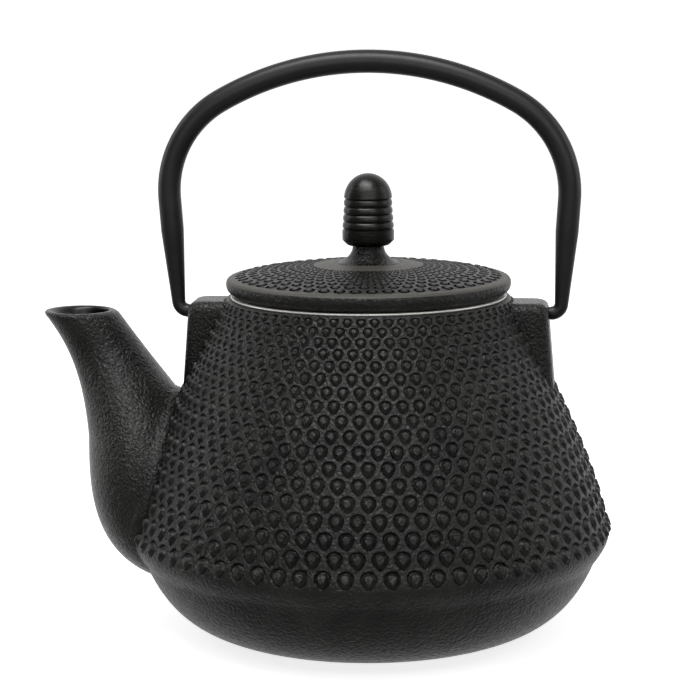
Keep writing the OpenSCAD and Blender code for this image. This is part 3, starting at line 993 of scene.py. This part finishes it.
def wire_cell():
    """Two crossing wires, one cell wide and one cell high, in cells."""
    bm = bmesh.new()
    over = bm.verts.layers.float.new("over")
    size = WIRE_R / 1.6
    for turn, way in ((0, 1.0), (1, -1.0)):
        rings = []
        for at in (-0.5, 0.0, 0.5):
            ring = []
            for a in (45, 135, 225, 315):
                across, up = (size * 1.41 * f(math.radians(a)) for f in (math.cos, math.sin))
                corner = bm.verts.new((across, at, up) if turn else (at, -across, up))
                corner[over] = way
                ring.append(corner)
            rings.append(ring)
        for low, high in zip(rings, rings[1:]):
            join_rings(bm, high, low)
    return new_piece("wire_cell", bm, [])


weave = Recipe("weave_wire", {
    "Cell": "Object", "Across": "Int", "Down": "Int", "Pitch": "Float", "Lift": "Float",
    "Round": "Float", "Reach": "Float", "Level": "Float", "Material": "Material"})
cell, across, downwards, pitch, lift, round_r, reach, weave_level, weave_material = weave.given[:9]
index = weave.add("GeometryNodeInputIndex")[0]
row = weave.math("FLOOR", weave.math("DIVIDE", index, across))
column = weave.math("SUBTRACT", index, weave.math("MULTIPLY", row, across))
middle_x = weave.math("MULTIPLY", weave.math("SUBTRACT", across, 1.0), 0.5)
middle_y = weave.math("MULTIPLY", weave.math("SUBTRACT", downwards, 1.0), 0.5)
place = weave.add("ShaderNodeCombineXYZ", weave.math("SUBTRACT", column, middle_x),
                  weave.math("SUBTRACT", row, middle_y), 0.0)[0]
places = weave.add("GeometryNodePoints", weave.math("MULTIPLY", across, downwards), place)[0]
# On the flat floor only the cells inside the ring are kept
from_middle = weave.add("ShaderNodeVectorMath", weave.add("GeometryNodeInputPosition")[0],
                        operation="LENGTH")[0]
kept = weave.math("LESS_THAN", weave.math("MULTIPLY", from_middle, pitch), reach)
cell_mesh = weave.add("GeometryNodeObjectInfo", cell, True)[-1]
net = weave.add("GeometryNodeInstanceOnPoints", places, kept, cell_mesh)[0]
net = weave.add("GeometryNodeRealizeInstances", net)[0]
net = weave.add("GeometryNodeMergeByDistance", net, None, 0.001)[0]
flat = weave.add("ShaderNodeSeparateXYZ", weave.add("GeometryNodeInputPosition")[0])
over = weave.add("GeometryNodeInputNamedAttribute", "over", data_type="FLOAT")[0]


def wave(run, middle):
    """Swings from one wire to the next, between 1 on a wire and -1 on its neighbour."""
    return weave.math("COSINE", weave.math("MULTIPLY", weave.math("ADD", run, middle), math.pi))


wave_x, wave_y = wave(flat[0], middle_x), wave(flat[1], middle_y)
sway = weave.math("MULTIPLY", weave.math("MULTIPLY", wave_x, wave_y),
                  weave.math("MULTIPLY", over, lift))
out = weave.math("ADD", weave.math("MULTIPLY", flat[2], pitch), sway)
run_x = weave.math("MULTIPLY", flat[0], pitch)
run_y = weave.math("MULTIPLY", flat[1], pitch)
level_net = weave.add("ShaderNodeCombineXYZ", run_x, run_y, weave.math("ADD", out, weave_level))[0]
turn = weave.math("DIVIDE", weave.math("MULTIPLY", flat[0], FULL_TURN), across)
wire_r = weave.math("ADD", round_r, out)
round_net = weave.add("ShaderNodeCombineXYZ",
                      weave.math("MULTIPLY", wire_r, weave.math("COSINE", turn)),
                      weave.math("MULTIPLY", wire_r, weave.math("SINE", turn)),
                      weave.math("ADD", run_y, weave_level))[0]
is_round = weave.math("GREATER_THAN", round_r, 0.0001)
placed = weave.add("ShaderNodeMix", is_round, level_net, round_net, data_type="VECTOR")[0]
net = weave.add("GeometryNodeSetPosition", net, None, placed)[0]
net = weave.add("GeometryNodeMergeByDistance", net, None, WELD)[0]
weave.end(net, weave_material)


def close_wires(piece):
    """Fills the cut ends of the wires and smooths their sides."""
    bm = bmesh.new()
    bm.from_mesh(piece.data)
    bmesh.ops.holes_fill(bm, edges=[e for e in bm.edges if e.is_boundary], sides=6)
    bmesh.ops.recalc_face_normals(bm, faces=bm.faces)
    print(piece.name, "faces:", len(bm.faces), "open edges:",
          len([e for e in bm.edges if not e.is_manifold]))
    bm.to_mesh(piece.data)
    bm.free()
    return soften(piece, 95)


wires = wire_cell()
WALL_ROUND, WALL_ROWS, WALL_MIDDLE = 148, 28, 23.6
FLOOR_WIRES, FLOOR_PITCH, FLOOR_REACH = 45, 1.6, 36.6
NO_LIMIT = 1.0
net_wall = weave.grow(
    "basket_mesh_wall", Cell=wires, Across=WALL_ROUND, Down=WALL_ROWS,
    Pitch=FULL_TURN * NET_R / WALL_ROUND * MM, Lift=WIRE_SWAY * MM, Round=NET_R * MM,
    Reach=NO_LIMIT, Level=(BASKET_Z + WALL_MIDDLE) * MM, Material=wire_steel)
net_floor = weave.grow(
    "basket_mesh_floor", Cell=wires, Across=FLOOR_WIRES, Down=FLOOR_WIRES,
    Pitch=FLOOR_PITCH * MM, Lift=WIRE_SWAY * MM, Round=0.0, Reach=FLOOR_REACH * MM,
    Level=(BASKET_Z + 0.75) * MM, Material=wire_steel)
bpy.data.objects.remove(wires)
for piece, node in ((net_wall, "infuser_mesh_wall"), (net_floor, "infuser_mesh_bottom")):
    close_wires(piece)
    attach(piece, "infuser")
    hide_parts(node)

# %% [markdown]
# ## Screw and washer
# The screw and its split washer are right as they stand in the frame, so they only
# get their polished finish.

# %% Screw and washer
FRAME_PIECES = ("knob_screw", "knob_washer")
for node in FRAME_PIECES:
    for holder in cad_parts[node].material_slots:
        holder.material = polished_steel
print("kept from the frame:", FRAME_PIECES)
